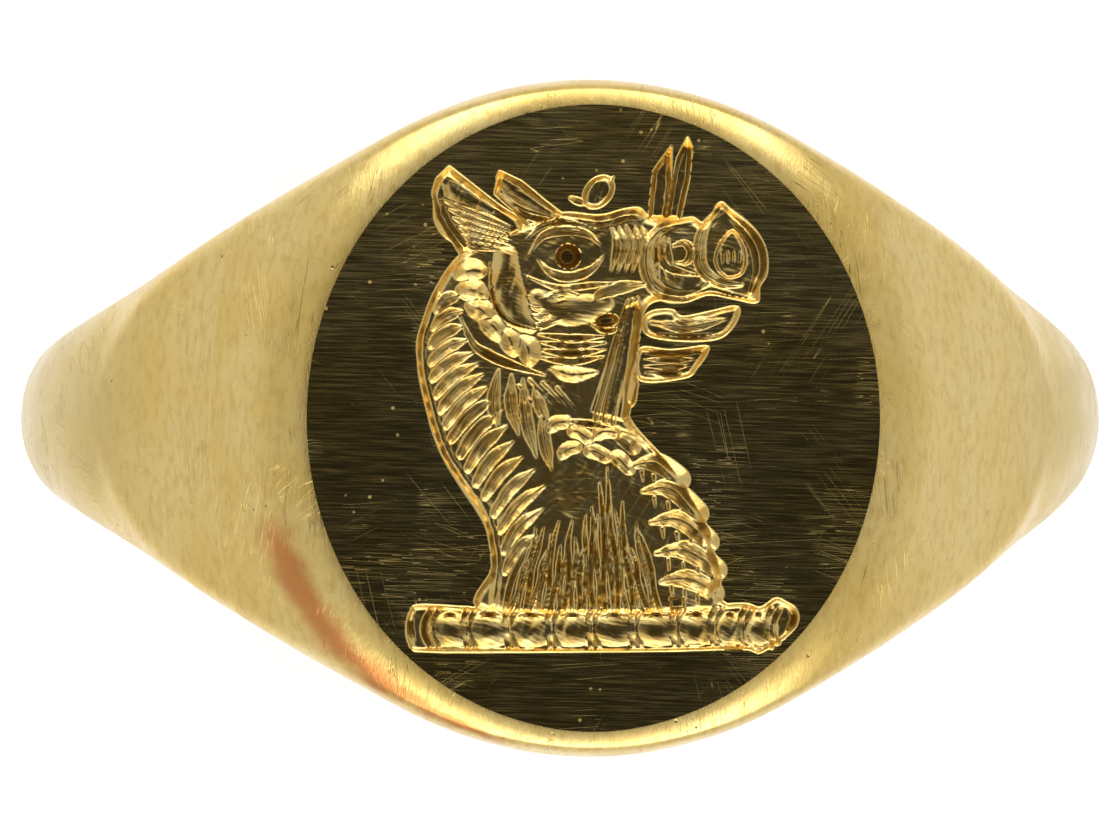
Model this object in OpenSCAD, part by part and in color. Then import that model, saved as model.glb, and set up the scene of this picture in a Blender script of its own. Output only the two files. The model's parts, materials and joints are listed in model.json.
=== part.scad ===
// Signet ring with an engraved oval table, built up from soldered pieces.
// Frame: origin at the middle of the finger bore, finger along Y, table facing +Z,
// so the band runs along X. Angles round the finger are measured from the table (0)
// over the right side (90) to the back of the hoop (180).

/* [Hoop] */
// Diameter of the finger bore
bore_d = 18.2; // [17.6:0.1:18.8]
// Metal thickness of the hoop at the two sides, middle of the dome
wall_side = 2; // [1.9:0.05:2.2]
// Metal thickness at the back of the hoop, middle of the dome
wall_back = 1.5; // [1.4:0.05:1.7]
// Width of the band where it passes the two sides
band_side_w = 3.4; // [3.2:0.1:3.8]
// Width of the band at the back
band_back_w = 2.8; // [2.6:0.1:3.2]
// Height of the band's upright edge, from the bore out to where the dome starts
edge_h = 0.8; // [0.7:0.05:0.9]

/* [Head] */
// Height of the engraved table over the middle of the bore
table_z = 11.9; // [11.7:0.05:12.1]
// Half length of the flat table along the band
table_a = 5.55; // [5.4:0.05:5.7]
// Half width of the flat table along the finger
table_b = 6.05; // [5.9:0.05:6.1]
// Half width of the whole head along the finger
head_b = 6.6; // [6.55:0.05:6.8]
// Half length of the ellipse that the head's plan outline follows
head_a = 6.45; // [6.3:0.05:6.6]
// Thickness of the table plate
plate_t = 1; // [0.8:0.05:1.1]
// Depth of the main cuts of the engraving
cut_depth = 0.15; // [0.1:0.01:0.25]
// Depth of the fine cuts of the engraving
deep_cut_depth = 0.3; // [0.26:0.01:0.4]

/* [Joints] */
// Thickness of every solder seam
seam_t = 0.08; // [0.06:0.01:0.1]
// Angle from the table's middle at which the head meets each shoulder
joint_angle = 37; // [36:0.5:38]

/* [Hidden] */

gold = "#c9a94f";
gold_dark = "#5b4f22";
gold_pale = "#d8c07a";
solder = "#b9743f";

bore_r = bore_d / 2;
side_r = bore_r + wall_side;
back_r = bore_r + wall_back;
core_depth = 0.6;
core_r = bore_r - core_depth;
seam_angle = asin(seam_t / side_r);

// The hoop's outside is turned a little off centre, towards the table, so that the
// back is thinner than the sides.
turn_z = (side_r * side_r / back_r - back_r) / 2;
crown_r = back_r + turn_z;
edge_r = bore_r + edge_h;

// The shoulder's side profile is a straight flank from the table's rim that runs
// tangent into the hoop. rim_a and rim_b are where that flank would meet the table's
// plane, just outside the flat, and rim_lift raises the rounding so that the flat
// ends in a crisp line.
rim_out = 0.5;
rim_a = table_a + rim_out;
rim_b = table_b + rim_out;
rim_round = 1.2;
rim_lift = 0.057;
flank_slope = tangent_slope(table_z - turn_z, rim_a, crown_r);

// The domed shoulder stands this much over the plain hoop under the table, and has
// died out at shoulder_end degrees.
shoulder_rise = 5.5;
shoulder_end = 58;
shoulder_power = 1.6;
ridge_round = 0.5;
hoop_blend = 0.6;

// The roundings between hoop, shoulder and flank shrink to the sharpest one over this
// many degrees before the shoulder's end.
blend_span = 28;
sharpest = 0.01;

far = 30;

// Slope of the line through (a, z) that is tangent to a circle of radius r
function tangent_slope(z, a, r) =
    let (qa = a * a - r * r, qb = 2 * z * a, qc = z * z - r * r)
    (-qb - sqrt(qb * qb - 4 * qa * qc)) / (2 * qa);

function mix(a, b, k) = a + (b - a) * k;
function soft_min(a, b, k) = min(a, b) - pow(max(k - abs(a - b), 0), 2) / (4 * k);
function soft_max(a, b, k) = -soft_min(-a, -b, k);

// Eases from 0 to 1 as k goes from 0 to 1
function ease(k) = let (c = min(1, max(0, k))) c * c * (3 - 2 * c);

// Plan outline of the head: an ellipse, then the straight taper tangent to it that
// comes down to the band's width at the sides.
taper_x = edge_r;
taper_y = band_side_w / 2;
tangent_t = atan2(taper_y / head_b, taper_x / head_a)
    + acos(1 / norm([taper_x / head_a, taper_y / head_b]));
tangent_x = head_a * cos(tangent_t);
tangent_y = head_b * sin(tangent_t);
function outline_y(x) = x < tangent_x
    ? head_b * sqrt(1 - pow(x / head_a, 2))
    : mix(tangent_y, taper_y, (x - tangent_x) / (taper_x - tangent_x));

// Half width of the band at angle t
function half_width(t) = cos(t) > 0
    ? outline_y(edge_r * abs(sin(t)))
    : band_side_w / 2;

// Distance from the finger's centre, at angle t, of a circle of radius r turned with
// the hoop's outside
function turned_r(t, r) = turn_z * cos(t) + sqrt(r * r - pow(turn_z * sin(t), 2));

// Radius at which the straight flank under the table's rim stands, at angle t and width y
function flank_r(t, y) =
    let (
        apex = table_z + rim_a * flank_slope,
        c = cos(t),
        s = flank_slope * sin(t),
        across = pow(flank_slope * rim_a * y / rim_b, 2),
        root = pow(apex * c, 2) - (c * c - s * s) * (apex * apex - across)
    )
    (apex * apex - across) / (apex * c + sqrt(max(root, 0)));

// How much of the shoulder's rise is left at angle t
function shoulder_part(t) =
    abs(t) < shoulder_end ? pow(cos(90 * abs(t) / shoulder_end), shoulder_power) : 0;

// Outer radius of the ring at angle t; u runs from -1 to 1 across the band
function skin_r(t, u) =
    let (
        dome = sqrt(1 - u * u),
        rise = shoulder_part(t),
        blend = ease((shoulder_end - abs(t)) / blend_span),
        hoop = turned_r(t, mix(edge_r, crown_r, dome)),
        shoulder = turned_r(t, mix(edge_r, crown_r + shoulder_rise * rise, dome)),
        rim = abs(t) < 80
            ? soft_min((table_z + rim_lift) / cos(t), flank_r(t, u * half_width(t)), rim_round)
            : 0,
        head = soft_min(rim, shoulder, ridge_round * blend + sharpest)
    )
    let (edge = turned_r(t, edge_r))
    abs(u) > 0.9999 ? edge : max(edge, soft_max(hoop, head, hoop_blend * blend + sharpest));

function polar(t, r, y) = [r * sin(t), y, r * cos(t)];

// A length of the ring between two angles, solid down to core_r inside the bore, with
// sections about step degrees apart and `across` facets over the dome
module ring_length(from_t, to_t, step = 4, across = 16) {
    steps = max(1, ceil((to_t - from_t) / step));
    row = across + 3;
    points = [
        for (i = [0:steps])
            let (t = mix(from_t, to_t, i / steps), w = half_width(t))
            each concat(
                [for (j = [0:across])
                    let (u = -cos(180 * j / across)) polar(t, skin_r(t, u), u * w)],
                [polar(t, core_r, w), polar(t, core_r, -w)]
            )
    ];
    sides = [
        for (i = [0:steps - 1], j = [0:row - 1])
            let (a = i * row + j, b = i * row + (j + 1) % row)
            each [[a, b, b + row], [a, b + row, a + row]]
    ];
    // Each end is a ladder of triangles across the dome and two triangles below its edge
    last_cap = concat(
        [
            for (j = [0:across / 2 - 2])
                let (k = across - j)
                each [[j, j + 1, k], [j + 1, k - 1, k]]
        ],
        [[across / 2 - 1, across / 2, across / 2 + 1]],
        [[across, across + 1, across + 2], [across, across + 2, 0]]
    );
    first_cap = [for (f = last_cap) [f[2], f[1], f[0]]];
    shifted = [for (f = last_cap) [for (v = f) v + steps * row]];
    polyhedron(points, concat(first_cap, sides, shifted));
}

module bore() {
    rotate([90, 0, 0]) cylinder(h = far, r = bore_r, center = true, $fn = 180);
}

// Upright oval prism between two heights
module oval(a, b, z0, z1) {
    translate([0, 0, z0]) linear_extrude(z1 - z0) scale([a, b]) circle(1, $fn = 96);
}

// Everything above the table's plane
module above_table() {
    translate([-far / 2, -far / 2, table_z]) cube(far);
}

// The table plate sits in a pocket, on and inside a thin layer of solder.
plate_a = table_a - seam_t;
plate_b = table_b - seam_t;
plate_z = table_z - plate_t;
pocket_z = plate_z - seam_t;

module table_plate() {
    color(gold_dark) difference() {
        oval(plate_a, plate_b, plate_z, table_z);
        engraving();
    }
}

module table_seam() {
    color(solder) difference() {
        oval(table_a, table_b, pocket_z, table_z);
        oval(plate_a, plate_b, plate_z, table_z + 1);
    }
}

module head_body() {
    color(gold_pale) difference() {
        ring_length(-joint_angle, joint_angle, 3, 24);
        oval(table_a, table_b, pocket_z, far);
        above_table();
        bore();
    }
}

// The shoulder on the right and its seam; the left ones are their mirror images
module shoulder() {
    color(gold) difference() {
        ring_length(joint_angle + seam_angle, 90, 3, 20);
        bore();
    }
}

module shoulder_seam() {
    color(solder) difference() {
        ring_length(joint_angle, joint_angle + seam_angle, 3, 20);
        bore();
    }
}

// The hoop's section: two upright edges with the dome between them, solid down to core_r
hoop_section = concat(
    [[core_r, -band_side_w / 2]],
    [for (a = [-90:10:90]) [mix(edge_r, crown_r, cos(a)), sin(a) * band_side_w / 2]],
    [[core_r, band_side_w / 2]]
);

// Outline of the hoop from the side: the band narrows from the bore's middle to the back
module hoop_taper() {
    rotate([90, 0, 90]) linear_extrude(far, center = true) polygon([
        [-band_side_w / 2, 1], [-band_side_w / 2, 0], [-band_back_w / 2, -back_r - 1],
        [band_back_w / 2, -back_r - 1], [band_side_w / 2, 0], [band_side_w / 2, 1],
    ]);
}

module hoop_blank() {
    intersection() {
        translate([0, 0, turn_z]) rotate([90, 0, 0])
            rotate_extrude($fn = 180) polygon(hoop_section);
        hoop_taper();
    }
}

// A slab of space between two heights
module slab(z0, z1) {
    translate([-far / 2, -far / 2, z0]) cube([far, far, z1 - z0]);
}

// The shank's two ends stop a seam's thickness short of the shoulders, level with the
// middle of the bore.
module shank_back() {
    color(gold) difference() {
        hoop_blank();
        slab(-seam_t, far);
        bore();
    }
}

module shank_seam() {
    color(solder) difference() {
        intersection() {
            hoop_blank();
            translate([0, -far / 2, -seam_t]) cube([far, far, seam_t]);
        }
        bore();
    }
}

module left() {
    mirror([1, 0, 0]) children();
}
module left_shoulder() { left() shoulder(); }
module right_shoulder() { shoulder(); }
module left_shoulder_seam() { left() shoulder_seam(); }
module right_shoulder_seam() { shoulder_seam(); }
module left_shank_seam() { left() shank_seam(); }
module right_shank_seam() { shank_seam(); }

// The engraving: a heraldic boar's head with a broken spear, on a twisted bar. It is
// drawn on the table's plane with its own centre at the table's centre.
eye = [-0.4, 3.1];
bar_y = -4.1;
bar_half_w = 0.45;
bar_left = -3.1;
bar_right = 3.7;
mane_cuts = 15;

head_outline = [
    [-2, -3.8], [-2, -2.4], [-2.6, -1.1], [-3.1, -0.1], [-3.3, 1.2], [-3, 2.4], [-2.5, 3.2],
    [-3, 4.3], [-2.7, 4.9], [-1.9, 4.2], [-1.8, 4.7], [-0.6, 3.9], [0.3, 3.9], [1.1, 4.1],
    [2, 3.7], [2.5, 4.1], [3.3, 3.7], [3.4, 3], [3.2, 2.3], [1.4, 2.4], [1.3, 2.1], [2.9, 2],
    [2.5, 1.4], [2.2, 1.2], [1.9, 0.7], [0.7, 0.5], [0.7, -0.1], [1.4, -0.8], [2.3, -2],
    [2.5, -3.2], [2.4, -3.8],
];
spear_outline = [[-0.1, 0], [0.5, 2.1], [1.1, 2.3], [0.7, -0.2]];
splinter_outline = [[1.2, 3.9], [1.6, 5.2], [1.9, 5.5], [1.9, 4.8], [1.6, 3.9]];

module cut(depth) {
    translate([0, 0, table_z - depth]) linear_extrude(depth + 1) children();
}

// A pointed leaf of the given length and width, lying along its own X
module leaf(length, width) {
    r = (length * length + width * width) / (4 * width);
    intersection() {
        translate([0, r - width / 2]) circle(r, $fn = 64);
        translate([0, width / 2 - r]) circle(r, $fn = 64);
    }
}

// Back of the neck, from the ear (k = 0) down to the bar (k = 1)
function mane_x(k) = -2.55 - 0.5 * sin(220 * k) + 0.7 * k * k;
function mane_y(k) = mix(2.7, -2.9, k);

module mane() {
    for (i = [0:mane_cuts - 1])
        let (k = i / (mane_cuts - 1))
        translate([mane_x(k) + 0.35, mane_y(k)]) rotate(40) leaf(0.7, 0.16);
}

module neck_fur() {
    for (i = [0:7])
        translate([-1 + 0.4 * i, -2.9 + 0.15 * (i % 3)]) rotate(86 + 2 * i) leaf(1.3, 0.14);
}

module bar_twists() {
    for (i = [0:6])
        translate([mix(bar_left + 0.5, bar_right - 0.5, i / 6), bar_y])
            rotate(70) leaf(0.8, 0.14);
}

module engraving() {
    cut(cut_depth) polygon(head_outline);
    cut(cut_depth) polygon(splinter_outline);
    cut(cut_depth) translate([0.1, 4.3]) rotate(50) leaf(0.7, 0.35);
    cut(cut_depth) hull() {
        translate([bar_left, bar_y]) circle(bar_half_w, $fn = 32);
        translate([bar_right, bar_y]) circle(bar_half_w, $fn = 32);
    }
    cut(deep_cut_depth) polygon(spear_outline);
    cut(deep_cut_depth) translate(eye) circle(0.25, $fn = 32);
    cut(deep_cut_depth) mane();
    cut(deep_cut_depth) neck_fur();
    cut(deep_cut_depth) bar_twists();
}

table_plate();
table_seam();
head_body();
left_shoulder_seam();
right_shoulder_seam();
left_shoulder();
right_shoulder();
left_shank_seam();
right_shank_seam();
shank_back();
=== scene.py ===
# Signet ring: gold head, shoulders and shank soldered together, with an engraved oval
# table. Lengths below are in millimetres in the ring's own frame: finger along Y, the
# table facing +Z, the band along X. MM turns them into Blender's metres.
import json
from math import acos, asin, atan2, cos, hypot, pi, radians, sin, sqrt

import bpy
import bmesh
import numpy as np
from mathutils import Matrix, Vector
from mathutils.geometry import delaunay_2d_cdt


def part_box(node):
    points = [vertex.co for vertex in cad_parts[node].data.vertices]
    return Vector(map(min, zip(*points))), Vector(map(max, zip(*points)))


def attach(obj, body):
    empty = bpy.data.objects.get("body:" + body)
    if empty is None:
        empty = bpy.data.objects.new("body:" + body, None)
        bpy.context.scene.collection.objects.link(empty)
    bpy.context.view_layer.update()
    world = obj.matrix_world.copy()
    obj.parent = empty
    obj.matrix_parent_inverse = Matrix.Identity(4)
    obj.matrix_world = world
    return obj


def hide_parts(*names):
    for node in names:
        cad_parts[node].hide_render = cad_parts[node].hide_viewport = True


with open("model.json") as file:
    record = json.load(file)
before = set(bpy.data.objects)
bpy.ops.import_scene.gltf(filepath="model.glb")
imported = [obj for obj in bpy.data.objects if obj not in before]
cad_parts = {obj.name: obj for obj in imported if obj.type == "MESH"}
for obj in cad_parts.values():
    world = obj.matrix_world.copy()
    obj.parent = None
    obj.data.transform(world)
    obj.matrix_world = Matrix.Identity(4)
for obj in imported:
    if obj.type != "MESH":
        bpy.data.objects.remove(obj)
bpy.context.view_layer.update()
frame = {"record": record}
MM = 0.001


# ---------------------------------------------------------------- sizes from the frame
def box_mm(node):
    low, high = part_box(node)
    return [v / MM for v in low], [v / MM for v in high]


bore_mount = next(m for m in frame["record"]["mounts"] if m["name"] == "finger_bore")
bore_r = bore_mount["dims"]["r_mm"]
plate_low, plate_high = box_mm("table_plate")
seam_low, seam_high = box_mm("table_seam")
shank_low, shank_high = box_mm("shank_back")
seam_t = (seam_high[0] - seam_low[0] - plate_high[0] + plate_low[0]) / 2
table_z = plate_high[2]
table_a = seam_high[0]
table_b = seam_high[1]
pocket_z = seam_low[2]
head_b = box_mm("head_body")[1][1]
side_r = shank_high[0]
back_r = -shank_low[2]
band_side_w = shank_high[1] - shank_low[1]

# ---------------------------------------------------------------- shape of the outside
HEAD_A = 6.45            # half length of the ellipse that the head's outline follows
EDGE_H = 0.8             # upright edge of the band, from the bore to the dome
BAND_BACK_W = 2.8        # band width at the back
JOINT_ANGLE = 37.0       # where the head meets the shoulders, from the table's middle
RIM_OUT = 0.5            # how far outside the flat the flank would meet its plane
RIM_ROUND = 1.2          # rounding between the table's plane and the flank
RIM_LIFT = 0.057         # raises that rounding, so that the flat ends in a crisp line
FLANK_REACH = 79.0       # the flank isn't followed past this angle
SHOULDER_RISE = 5.5      # height of the domed shoulder over the plain hoop
SHOULDER_END = 58.0      # angle at which that rise has died out
SHOULDER_POWER = 1.6     # how fast it dies out
RIDGE_ROUND = 0.5        # rounding between the flank and the shoulder
HOOP_BLEND = 0.6         # rounding between the head and the hoop
BLEND_SPAN = 28.0        # degrees over which these two shrink to the sharpest one
SHARPEST = 0.01
AT_EDGE = 0.99999        # places across the band from here on are the dome's edge itself

turn_z = (side_r * side_r / back_r - back_r) / 2
crown_r = back_r + turn_z
edge_r = bore_r + EDGE_H
rim_a = table_a + RIM_OUT
rim_b = table_b + RIM_OUT
seam_angle = np.degrees(asin(seam_t / side_r))


def tangent_slope(z, a, r):
    qa, qb, qc = a * a - r * r, 2 * z * a, z * z - r * r
    return (-qb - sqrt(qb * qb - 4 * qa * qc)) / (2 * qa)


flank_slope = tangent_slope(table_z - turn_z, rim_a, crown_r)


def mix(a, b, k):
    return a + (b - a) * k


def soft_min(a, b, k):
    return np.minimum(a, b) - np.maximum(k - np.abs(a - b), 0) ** 2 / (4 * k)


def soft_max(a, b, k):
    return -soft_min(-a, -b, k)


def ease(k):
    k = np.clip(k, 0, 1)
    return k * k * (3 - 2 * k)


taper_x = edge_r
taper_y = band_side_w / 2
taper_far = hypot(taper_x / HEAD_A, taper_y / head_b)
tangent_t = atan2(taper_y / head_b, taper_x / HEAD_A) + acos(1 / taper_far)
tangent_x = HEAD_A * cos(tangent_t)
tangent_y = head_b * sin(tangent_t)


def half_width(t):
    """Half width of the band at angle t, in degrees from the table's middle."""
    s, c = np.abs(np.sin(np.radians(t))), np.cos(np.radians(t))
    x = edge_r * s
    oval = head_b * np.sqrt(np.clip(1 - (x / HEAD_A) ** 2, 0, 1))
    taper = mix(tangent_y, taper_y, (x - tangent_x) / (taper_x - tangent_x))
    back = mix(band_side_w, BAND_BACK_W, np.clip(-c, 0, 1)) / 2
    return np.where(c > 0, np.where(x < tangent_x, oval, taper), back)


def turned_r(t, r):
    """Distance from the finger's centre of a circle turned with the hoop's outside."""
    s, c = np.sin(np.radians(t)), np.cos(np.radians(t))
    return turn_z * c + np.sqrt(r * r - (turn_z * s) ** 2)


def flank_r(t, y):
    """Distance from the finger's centre of the straight flank that falls away from the rim."""
    apex = table_z + rim_a * flank_slope
    c = np.cos(np.radians(t))
    s = flank_slope * np.sin(np.radians(t))
    across = (flank_slope * rim_a * y / rim_b) ** 2
    root = (apex * c) ** 2 - (c * c - s * s) * (apex * apex - across)
    return (apex * apex - across) / (apex * c + np.sqrt(np.maximum(root, 0)))


def skin_r(t, u):
    """Outer radius of the ring at angle t; u runs from -1 to 1 across the band."""
    t, u = np.broadcast_arrays(np.asarray(t, float), np.asarray(u, float))
    dome = np.sqrt(np.clip(1 - u * u, 0, 1))
    part = np.cos(np.radians(90 * np.minimum(np.abs(t) / SHOULDER_END, 1))).clip(0)
    rise = part ** SHOULDER_POWER
    hoop = turned_r(t, mix(edge_r, crown_r, dome))
    shoulder = turned_r(t, mix(edge_r, crown_r + SHOULDER_RISE * rise, dome))
    near = np.clip(t, -FLANK_REACH, FLANK_REACH)
    flat = (table_z + RIM_LIFT) / np.cos(np.radians(near))
    rim = soft_min(flat, flank_r(near, u * half_width(t)), RIM_ROUND)
    rim = np.where(np.abs(t) < FLANK_REACH, rim, 0)
    blend = ease((SHOULDER_END - np.abs(t)) / BLEND_SPAN)
    head = soft_min(rim, shoulder, RIDGE_ROUND * blend + SHARPEST)
    edge = turned_r(t, edge_r)
    skin = np.maximum(edge, soft_max(hoop, head, HOOP_BLEND * blend + SHARPEST))
    return np.where(np.abs(u) > AT_EDGE, edge, skin)


def on_skin(t, u, r=None):
    """Points in millimetres at angle t and place u across the band."""
    t, u = np.broadcast_arrays(np.asarray(t, float), np.asarray(u, float))
    r = skin_r(t, u) if r is None else r
    s, c = np.sin(np.radians(t)), np.cos(np.radians(t))
    return np.stack([r * s, u * half_width(t), r * c], -1)


# ---------------------------------------------------------------- mesh helpers
WELD = 1e-7              # in metres, points nearer than this are joined


def make_object(name, points_mm, faces):
    mesh = bpy.data.meshes.new(name)
    mesh.from_pydata((np.asarray(points_mm) * MM).tolist(), [], faces)
    mesh.validate()
    bm = bmesh.new()
    bm.from_mesh(mesh)
    bmesh.ops.remove_doubles(bm, verts=bm.verts, dist=WELD)
    bmesh.ops.recalc_face_normals(bm, faces=bm.faces)
    bm.to_mesh(mesh)
    bm.free()
    mesh.polygons.foreach_set("use_smooth", [True] * len(mesh.polygons))
    obj = bpy.data.objects.new(name, mesh)
    bpy.context.scene.collection.objects.link(obj)
    return obj


def finish_piece(obj, node, material, sharp_deg=40):
    obj.data.materials.append(material)
    obj.data.set_sharp_from_angle(angle=radians(sharp_deg))
    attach(obj, "root")
    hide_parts(node)


def grid_faces(rows, cols, start=0, closed=False):
    faces = []
    for i in range(rows - 1):
        for j in range(cols if closed else cols - 1):
            a = start + i * cols + j
            b = start + i * cols + (j + 1) % cols
            faces.append((a, b, b + cols, a + cols))
    return faces


# ---------------------------------------------------------------- ring sections
ACROSS = 56              # facets over the dome
FILLET = 0.28            # rounding between the bore and the side of the band
FILLET_STEPS = 7


def lower_section(t):
    """From the dome's edge at +w, down the side, over the bore's edges and up to -w."""
    w = float(half_width(t))
    edge = float(turned_r(t, edge_r))
    side = [(edge - (edge - bore_r - FILLET) * k, w) for k in (0.25, 0.5, 0.75, 1)]
    corner = []
    for i in range(1, FILLET_STEPS + 1):
        a = pi / 2 * i / FILLET_STEPS
        corner.append((bore_r + FILLET * (1 - sin(a)), w - FILLET * (1 - cos(a))))
    half = side + corner
    inner = [(bore_r, (w - FILLET) * k) for k in np.linspace(0.75, -0.75, 7)]
    return half + inner + [(r, -y) for r, y in reversed(half)]


def under_side(t):
    s, c = sin(radians(t)), cos(radians(t))
    return np.array([(r * s, y, r * c) for r, y in lower_section(t)])


def section(t):
    psi = np.linspace(-pi / 2, pi / 2, ACROSS + 1)
    return np.concatenate([on_skin(t, np.sin(psi)), under_side(t)])


def ring_length(name, from_t, to_t, step):
    count = max(2, int(np.ceil((to_t - from_t) / step)) + 1)
    angles = np.linspace(from_t, to_t, count)
    rows = np.array([section(t) for t in angles])
    cols = rows.shape[1]
    faces = grid_faces(count, cols, closed=True)
    for i in (0, count - 1):
        faces.append(tuple(range(i * cols, (i + 1) * cols)))
    return make_object(name, rows.reshape(-1, 3), faces)


# ---------------------------------------------------------------- head with its rim
HEAD_STEPS_T = 120       # facets of the head's skin along the band and across it
HEAD_STEPS_U = 90
HEAD_RINGS = 60          # loops of facets from the table's edge out to the joints
CROWDING = 1.6           # how much closer together they are near the table
HALVINGS = 40


def head_border():
    """Border of the head's skin as (angle, place across), going round once."""
    ts = np.linspace(-JOINT_ANGLE, JOINT_ANGLE, HEAD_STEPS_T + 1)
    ps = np.linspace(-pi / 2, pi / 2, HEAD_STEPS_U + 1)
    return np.array(
        [(t, -pi / 2) for t in ts[:-1]]
        + [(JOINT_ANGLE, p) for p in ps[:-1]]
        + [(t, pi / 2) for t in ts[:0:-1]]
        + [(-JOINT_ANGLE, p) for p in ps[:0:-1]]
    )


def head_skin():
    """Loops of points from the pocket's floor, over the table's edge, to the joints."""
    border = head_border()
    turn = np.arctan2(border[:, 1] / (pi / 2), border[:, 0] / JOINT_ANGLE)
    oval_x, oval_y = table_a * np.cos(turn), table_b * np.sin(turn)
    start_t = np.degrees(np.arctan2(oval_x, table_z))
    start_p = np.arcsin(np.clip(oval_y / half_width(start_t), -1, 1))

    def at(k):
        return on_skin(mix(start_t, border[:, 0], k), np.sin(mix(start_p, border[:, 1], k)))

    # halving finds where each line outwards leaves the table's plane
    low, high = np.zeros(len(border)), np.full(len(border), 0.5)
    for _ in range(HALVINGS):
        middle = (low + high) / 2
        above = at(middle)[:, 2] > table_z
        low, high = np.where(above, middle, low), np.where(above, high, middle)
    rings = [np.stack([oval_x, oval_y, np.full(len(border), z)], -1) for z in (pocket_z, table_z)]
    for k in np.linspace(0, 1, HEAD_RINGS + 1) ** CROWDING:
        ring = at(mix(high, 1, k))
        ring[:, 2] = np.minimum(ring[:, 2], table_z)
        rings.append(ring)
    return np.array(rings)


def head_piece():
    rings = head_skin()
    cols = rings.shape[1]
    points = rings.reshape(-1, 3)
    faces = [tuple(range(cols))] + grid_faces(len(rings), cols, closed=True)
    ts = np.linspace(-JOINT_ANGLE, JOINT_ANGLE, HEAD_STEPS_T + 1)
    psi = np.linspace(-pi / 2, pi / 2, HEAD_STEPS_U + 1)
    low = np.array([
        np.concatenate([[on_skin(t, 1.0)], under_side(t), [on_skin(t, -1.0)]]) for t in ts
    ])
    faces += grid_faces(len(ts), low.shape[1], len(points))
    points = np.concatenate([points, low.reshape(-1, 3)])
    for i, t in ((0, -JOINT_ANGLE), (len(ts) - 1, JOINT_ANGLE)):
        cap = np.concatenate([on_skin(t, np.sin(psi)), low[i][1:-1]])
        faces.append(tuple(range(len(points), len(points) + len(cap))))
        points = np.concatenate([points, cap])
    return make_object("head", points, faces)


# ---------------------------------------------------------------- table and its solder
OVAL_STEPS = 240         # points round the table's edge
plate_a, plate_b, plate_z = plate_high[0], plate_high[1], plate_low[2]


def oval_ring(a, b, z):
    turn = np.linspace(0, 2 * pi, OVAL_STEPS, endpoint=False)
    return np.stack([a * np.cos(turn), b * np.sin(turn), np.full(OVAL_STEPS, z)], -1)


def table_seam_piece():
    outer = [oval_ring(table_a, table_b, z) for z in (pocket_z, table_z)]
    inner = [oval_ring(plate_a, plate_b, z) for z in (table_z, plate_z)]
    rings = outer + inner
    faces = grid_faces(len(rings), OVAL_STEPS, closed=True)
    faces += [tuple(range(OVAL_STEPS)), tuple(range(3 * OVAL_STEPS, 4 * OVAL_STEPS))]
    return make_object("table_solder", np.concatenate(rings), faces)


# ---------------------------------------------------------------- the engraver's cuts
# The crest is drawn from its own centre, with x to the right and y up. Every hollow and
# every stroke of the graver lowers the cells of one grid, which becomes the plate's face.
CELL = 0.0232                                    # size of the facets inside the engraving
LEFT, RIGHT, BOTTOM, TOP = -3.8, 4.4, -4.9, 5.7  # extent of the grid
DRAWING_AT = -0.08, 0.03                         # the drawing's centre on the table
UNCUT = 0.03                                     # share of the oval that is left plain at its edge
GRAVER = 0.72                                    # depth of every stroke, as a share of its own value
WALL_CURVE = 1.6                                 # how steeply a hollow's wall starts at its edge
BOWL_REACH = 0.7                                 # how far in from its edge a hollow goes on deepening
SWELL, RIPPLE, CHATTER = 0.013, 0.0045, 0.0025   # heights of the unevenness that a graver leaves
grid_x = np.arange(LEFT, RIGHT, CELL)
grid_y = np.arange(BOTTOM, TOP, CELL)
depth = np.zeros((len(grid_y), len(grid_x)))
floor = depth.copy()  # depth of the hollows that the single strokes are cut into


def curve(points, steps=6, closed=False):
    """Smooth curve through the points."""
    p = np.array(points, float)
    if closed:
        p = np.concatenate([p[-1:], p, p[:2]])
    else:
        p = np.concatenate([p[:1] * 2 - p[1:2], p, p[-1:] * 2 - p[-2:-1]])
    k = np.linspace(0, 1, steps, endpoint=False)[:, None]
    parts = [
        0.5 * (2 * b + (c - a) * k + (2 * a - 5 * b + 4 * c - d) * k ** 2 + (3 * b - a - 3 * c + d) * k ** 3)
        for a, b, c, d in zip(p, p[1:], p[2:], p[3:])
    ]
    return np.concatenate(parts + ([] if closed else [p[-2:-1]]))


def window(points, margin):
    """The part of the grid round the points, as an index and as the places of its cells."""
    low, high = points[:, :2].min(0) - margin, points[:, :2].max(0) + margin
    xs = slice(max(0, int((low[0] - LEFT) / CELL)), max(0, int((high[0] - LEFT) / CELL) + 2))
    ys = slice(max(0, int((low[1] - BOTTOM) / CELL)), max(0, int((high[1] - BOTTOM) / CELL) + 2))
    x, y = np.meshgrid(grid_x[xs], grid_y[ys])
    return (ys, xs), x, y


def to_segments(points, x, y):
    """For every segment of the line: distance from the cells and place along it."""
    for a, b in zip(points, points[1:]):
        d = b[:2] - a[:2]
        size = max(float(d @ d), 1e-12)
        k = np.clip(((x - a[0]) * d[0] + (y - a[1]) * d[1]) / size, 0, 1)
        yield np.hypot(x - a[0] - k * d[0], y - a[1] - k * d[1]), k


def gouge(points, width, deep, ends=(0.2, 0.2), power=1.25):
    """One stroke of the graver: a groove with half width `width`, narrowing at its ends."""
    line = curve(points) if len(points) > 2 else np.array(points, float)
    along = np.linspace(0, 1, len(line))
    swell = np.interp(along, [0, 0.35, 0.65, 1], [ends[0], 1, 1, ends[1]])
    cells, x, y = window(line, width + CELL)
    best = np.zeros(x.shape)
    for (dist, k), w0, w1 in zip(to_segments(line, x, y), swell, swell[1:]):
        w = mix(w0, w1, k)
        best = np.maximum(best, w * (1 - (dist / (width * w + 1e-6)) ** power))
    depth[cells] = np.maximum(depth[cells], np.where(best > 0, floor[cells] + GRAVER * deep * best, 0))


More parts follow.
